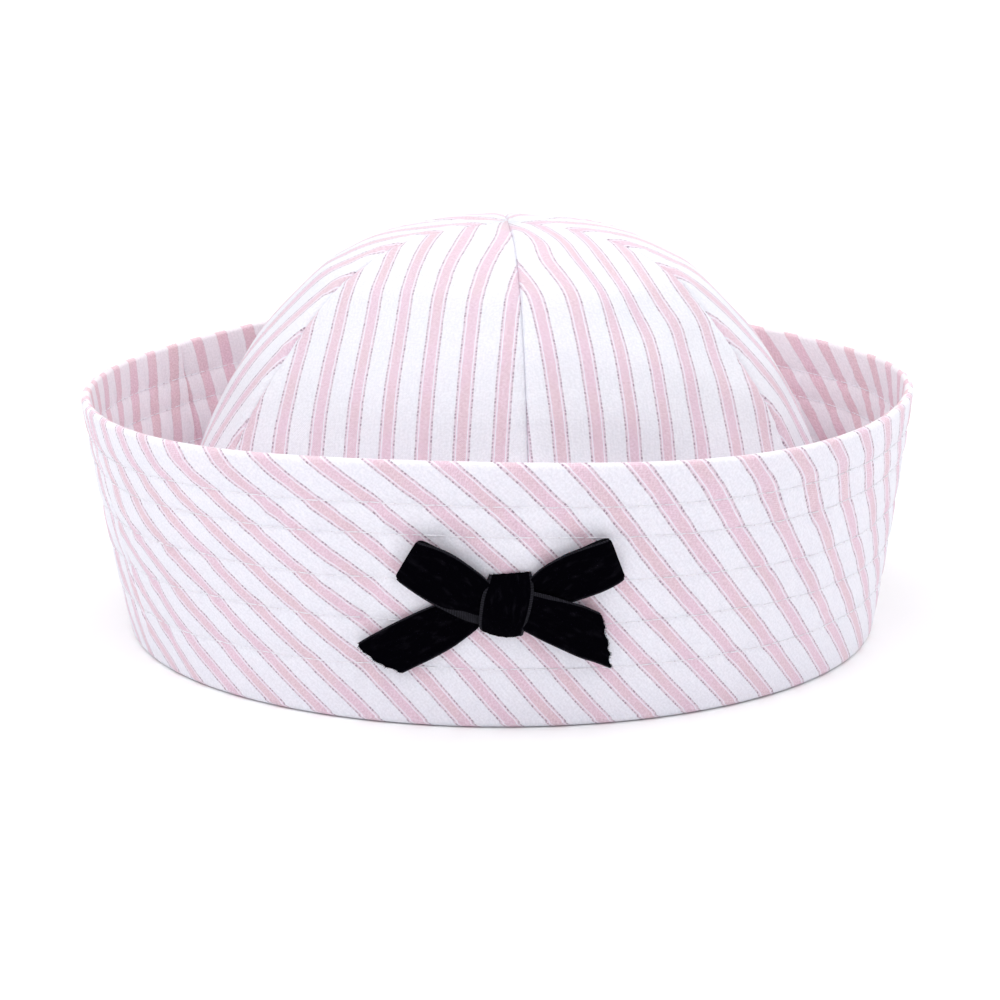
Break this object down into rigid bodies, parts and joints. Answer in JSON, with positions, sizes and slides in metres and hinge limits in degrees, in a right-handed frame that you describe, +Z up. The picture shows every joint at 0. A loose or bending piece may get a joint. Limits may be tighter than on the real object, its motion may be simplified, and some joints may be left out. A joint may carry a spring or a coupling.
{
  "type": "sailor cap",
  "caption": "Soft striped cotton sailor cap with a round gored crown, a stitched turned-up brim and a black velvet ribbon bow.",
  "frame": {"origin": "centre of the bounding box's base, on the surface that the cap stands on", "axes": "+Z up through the crown, -Y to the front, where the bow is, +X to the right as seen from the front"},
  "size_m": [0.2154, 0.2159, 0.1052],
  "materials": {
    "striped_cotton": "woven cotton ticking, pink stripes on white, matt",
    "black_velvet": "short black pile ribbon, very matt"
  },
  "bodies": {
    "root": {"brim": "striped_cotton", "crown_gore_1": "striped_cotton", "crown_gore_2": "striped_cotton", "crown_gore_3": "striped_cotton", "crown_gore_4": "striped_cotton", "crown_gore_5": "striped_cotton", "crown_gore_6": "striped_cotton", "bow_loop_left": "black_velvet", "bow_loop_right": "black_velvet", "bow_tail_left": "black_velvet", "bow_tail_right": "black_velvet", "bow_knot": "black_velvet"}
  },
  "joints": []
}
